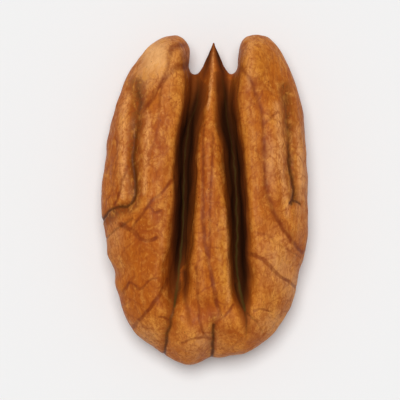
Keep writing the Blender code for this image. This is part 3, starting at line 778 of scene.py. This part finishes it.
class Finish:
    """A material in the making. Its calls add nodes and return their results, ready for the next."""

    def __init__(self, name):
        self.material = bpy.data.materials.new(name)
        self.material.use_nodes = True
        self.tree = self.material.node_tree
        self.shader = self.tree.nodes["Principled BSDF"]
        self.place = self.add("ShaderNodeTexCoord").outputs["Object"]

    def add(self, kind, inputs=(), **settings):
        """A node with these settings, and these inputs as (socket, value or result)."""
        node = self.tree.nodes.new(kind)
        for name, value in settings.items():
            setattr(node, name, value)
        for socket, value in inputs:
            self.feed(node.inputs[socket], value)
        return node

    def feed(self, socket, value):
        """Gives a socket a value, or wires a result to it."""
        if isinstance(value, bpy.types.NodeSocket):
            self.tree.links.new(value, socket)
        else:
            socket.default_value = value

    def map(self, name):
        """One of the mesh's maps."""
        return self.add("ShaderNodeAttribute", attribute_name=name).outputs["Fac"]

    def stretched(self, across, along):
        """The place on the nut, measured in features of this size across and along it."""
        scale = (1 / across, 1 / along, 1 / across)
        return self.add("ShaderNodeMapping", [(0, self.place), ("Scale", scale)]).outputs[0]

    def noise(self, place, detail=4.0, roughness=0.55, distortion=0.0):
        """Soft noise from about 0.3 to 0.7, with features about 1 across."""
        inputs = [(0, place), ("Scale", 1.0), ("Detail", detail), ("Roughness", roughness)]
        inputs.append(("Distortion", distortion))
        return self.add("ShaderNodeTexNoise", inputs).outputs["Fac"]

    def between(self, value, start, end, low=0.0, high=1.0):
        """The value, eased from low at start to high at end."""
        inputs = [(0, value), (1, start), (2, end), (3, low), (4, high)]
        return self.add("ShaderNodeMapRange", inputs, interpolation_type="SMOOTHSTEP").outputs[0]

    def combine(self, kind, *values):
        """One number made from others by this kind of sum, such as ADD."""
        return self.add("ShaderNodeMath", enumerate(values), operation=kind).outputs[0]

    def times(self, one, other):
        """The product of two numbers."""
        return self.combine("MULTIPLY", one, other)

    def layer(self, below, above, amount):
        """The colour below with the one above laid over it by this amount."""
        inputs = [(FACTOR_IN, amount), (BELOW_IN, below), (ABOVE_IN, above)]
        node = self.add("ShaderNodeMix", data_type="RGBA")
        for socket, value in inputs:
            self.feed(node.inputs[socket], value)
        return node.outputs[COLOUR_OUT]


skin = Finish("pecan_skin")
print("started the finish", skin.material.name)

# %% The tans, and the noises that vary them
TAN = screen(190, 104, 28)
TAN_DEEP = screen(164, 80, 18)
PALE_TAN_AND_HIGHLIGHT = screen(224, 148, 62)
GOLD = screen(204, 132, 42)
RED = screen(162, 74, 16)
# painted shade in the valleys, then painted highlights on the rolls and on the pale patches
VALLEY_SHADE = screen(112, 60, 20)
ROLL_HIGHLIGHT = screen(236, 164, 96)
PAINTED_HIGHLIGHT = screen(250, 188, 120)
INNER = screen(188, 116, 54)
CORK = screen(124, 72, 34)

blotch = skin.noise(skin.stretched(2.6 * MM, 4.0 * MM), detail=4.0, distortion=0.4)
cloud = skin.noise(skin.stretched(1.0 * MM, 1.5 * MM), detail=3.0, distortion=0.5)
mottle = skin.noise(skin.stretched(0.42 * MM, 0.6 * MM), detail=2.0, roughness=0.5, distortion=1.0)
uneven = skin.between(cloud, 0.3, 0.6, 0.4, 1.0)
nearly_even = skin.between(cloud, 0.3, 0.6, 0.75, 1.0)
calm = skin.between(skin.map("pale_highlight"), 0.1, 0.8, 1.0, 0.25)  # low on the painted highlights, which get little mottle
print("after the noises:", len(skin.tree.nodes), "nodes")

# %% The tan, with its warm and pale patches
colour = skin.layer(TAN, TAN_DEEP, skin.between(blotch, 0.42, 0.68, 0.0, 0.8))
# painted highlight: the crests are paler
colour = skin.layer(colour, PALE_TAN_AND_HIGHLIGHT, skin.between(skin.map("crest_highlight"), 0.3, 1.0, 0.0, 0.3))
colour = skin.layer(colour, GOLD, skin.times(skin.map("gold"), uneven))
colour = skin.layer(colour, RED, skin.times(skin.map("red"), uneven))
# painted highlight on the pale patches
colour = skin.layer(colour, PAINTED_HIGHLIGHT, skin.times(skin.map("pale_highlight"), nearly_even))
# painted highlight on the raised rolls
colour = skin.layer(colour, ROLL_HIGHLIGHT, skin.times(skin.between(skin.map("roll_highlight"), 0.1, 0.8), uneven))
# painted shade in the valleys beside the creases
colour = skin.layer(colour, VALLEY_SHADE, skin.between(skin.map("valley_shade"), 0.1, 0.95, 0.0, 0.85))
colour = skin.layer(colour, INNER, skin.between(skin.map("inner_face"), 0.2, 1.0, 0.0, 0.6))
cork_amount = skin.between(skin.times(skin.map("hollow"), uneven), 0.1, 0.6, 0.0, 0.85)
colour = skin.layer(colour, CORK, cork_amount)
colour = skin.layer(colour, PALE_TAN_AND_HIGHLIGHT, skin.between(cloud, 0.48, 0.7, 0.0, 0.6))
dark_mottle = skin.times(skin.between(mottle, 0.5, 0.34, 0.0, 0.55), calm)
colour = skin.layer(colour, TAN_DEEP, dark_mottle)
colour = skin.layer(colour, PALE_TAN_AND_HIGHLIGHT, skin.between(mottle, 0.54, 0.7, 0.0, 0.38))
print("after the tan and its patches:", len(skin.tree.nodes), "nodes")

# %% The fine net
NET = screen(148, 62, 14)
NET_MESH = 1.5 * MM
THREAD = 0.09  # its half width, in meshes
PUSH, PUSH_SIZE = 0.5 * MM, 0.9 * MM

push_noise = skin.add("ShaderNodeTexNoise", [(0, skin.place), ("Scale", 1 / PUSH_SIZE), ("Detail", 3.0)])
push = skin.add(
    "ShaderNodeVectorMath",
    [(0, push_noise.outputs["Color"]), (1, (PUSH, PUSH, PUSH))],
    operation="MULTIPLY",
)
net_place = skin.add("ShaderNodeVectorMath", [(0, skin.place), (1, push.outputs[0])], operation="ADD")
net = skin.add(
    "ShaderNodeTexVoronoi",
    [(0, net_place.outputs[0]), ("Scale", 1 / NET_MESH)],
    feature="DISTANCE_TO_EDGE",
)
threads = skin.times(skin.between(net.outputs["Distance"], THREAD, 0.0), calm)
net_amount = skin.between(blotch, 0.35, 0.6, 0.1, 0.4)
colour = skin.layer(colour, NET, skin.times(threads, net_amount))
print("after the net:", len(skin.tree.nodes), "nodes")

# %% Thin winding lines, the grain and the specks
GRAIN = screen(140, 62, 16)
SPECK = screen(96, 40, 12)

winding = skin.noise(skin.stretched(0.8 * MM, 0.7 * MM), detail=2.0, roughness=0.6, distortion=1.2)
off_middle = skin.combine("ABSOLUTE", skin.combine("SUBTRACT", winding, 0.5))
thin_lines = skin.times(skin.between(off_middle, 0.05, 0.0), calm)
line_amount = skin.between(cloud, 0.35, 0.6, 0.1, 0.38)
colour = skin.layer(colour, NET, skin.times(thin_lines, line_amount))
grain = skin.noise(skin.stretched(0.16 * MM, 0.9 * MM), detail=3.0, roughness=0.6)
grain_amount = skin.times(skin.between(grain, 0.5, 0.7, 0.0, 0.45), calm)
colour = skin.layer(colour, GRAIN, grain_amount)
spots = skin.add("ShaderNodeTexVoronoi", [(0, skin.stretched(0.42 * MM, 0.85 * MM)), ("Scale", 1.0)])
spot_draw = skin.add("ShaderNodeSeparateColor", [(0, spots.outputs["Color"])]).outputs[0]
few = skin.between(spot_draw, 0.55, 0.6)
dots = skin.times(skin.between(spots.outputs["Distance"], 0.13, 0.05, 0.0, 0.8), few)
colour = skin.layer(colour, SPECK, dots)
print("after the net, the grain and the specks:", len(skin.tree.nodes), "nodes")

# %% Twigs, veins, creases and the dark of the grooves, partly painted shade
VEIN = screen(122, 50, 14)
TWIG = screen(146, 64, 20)
CREASE_DARK_AND_SHADE = screen(80, 40, 10)
BED = screen(76, 66, 24)
GROOVE_DARK_AND_SHADE = screen(56, 25, 5)
GROOVE_EDGE_AND_SHADE = screen(134, 66, 20)


def marked(colour, above, name, start, end, most, over=1.0):
    """The colour with another laid over it where this map of the mesh rises from start to end."""
    amount = skin.times(skin.between(skin.map(name), start, end, 0.0, most), over)
    return skin.layer(colour, above, amount)


broken = skin.between(cloud, 0.3, 0.62, 1.0, 0.5)
colour = marked(colour, TWIG, "twig", 0.05, 0.65, 0.7, skin.times(broken, calm))
colour = marked(colour, VEIN, "vein", 0.15, 0.7, 0.9, broken)
# painted shade where the skin is hidden from the sky
colour = marked(colour, GROOVE_EDGE_AND_SHADE, "occlusion_shade", 0.35, 0.9, 0.5)
# the grooves: their darker skin and painted shade, fading out at the edges
colour = marked(colour, GROOVE_EDGE_AND_SHADE, "groove_shade_band", 0.05, 0.4, 0.9)
colour = marked(colour, GROOVE_DARK_AND_SHADE, "groove_shade_band", 0.25, 0.75, 0.98)
# the creases: partly a darker slit, partly painted shade
colour = marked(colour, CREASE_DARK_AND_SHADE, "crease", 0.1, 0.8, 0.85)
colour = marked(colour, BED, "bed", 0.3, 0.8, 0.6)
skin.feed(skin.shader.inputs["Base Color"], colour)
print("after the veins and the grooves:", len(skin.tree.nodes), "nodes")

# %% [markdown]
# ## Gloss and touch
#
# The skin of a fresh kernel is a little oily: satin on its swellings, duller in its wrinkles and
# in the grooves. The roughness follows the same noise as the colour, so a pale spot is also
# the smoother one. Wrinkles that are finer than the mesh are left to a bump.

# %% The gloss and the finest wrinkles
BUMP_HEIGHT, BUMP_STRENGTH = 0.03 * MM, 0.6
SHINE = 0.1
IOR = 1.46

dull = skin.combine("MAXIMUM", skin.between(skin.map("groove_shade_band"), 0.1, 0.5, 0.0, 0.4), cork_amount)
rough = skin.combine("ADD", skin.between(mottle, 0.3, 0.7, 0.56, 0.42), dull)
skin.feed(skin.shader.inputs["Roughness"], rough)
skin.feed(skin.shader.inputs["Specular IOR Level"], SHINE)
skin.feed(skin.shader.inputs["IOR"], IOR)
pores = skin.noise(skin.stretched(0.09 * MM, 0.2 * MM), detail=3.0)
height = skin.combine("ADD", skin.times(grain, 0.6), skin.times(pores, 0.4))
touch = skin.add(
    "ShaderNodeBump",
    [("Strength", BUMP_STRENGTH), ("Distance", BUMP_HEIGHT), ("Height", height)],
)
skin.feed(skin.shader.inputs["Normal"], touch.outputs[0])
print("nodes in the finish:", len(skin.tree.nodes))

# %% [markdown]
# ## The finished half
#
# The fine mesh takes the place of the plain solid, which stays behind for the physics. It is
# shaded smooth, so its squares don't show.

# %% Putting it in place
pecan_half = bpy.data.objects.new("pecan_half", skin_mesh)
scene.collection.objects.link(pecan_half)
skin_mesh.materials.append(skin.material)
skin_mesh.shade_smooth()
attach(pecan_half, "root")
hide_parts("kernel_half")
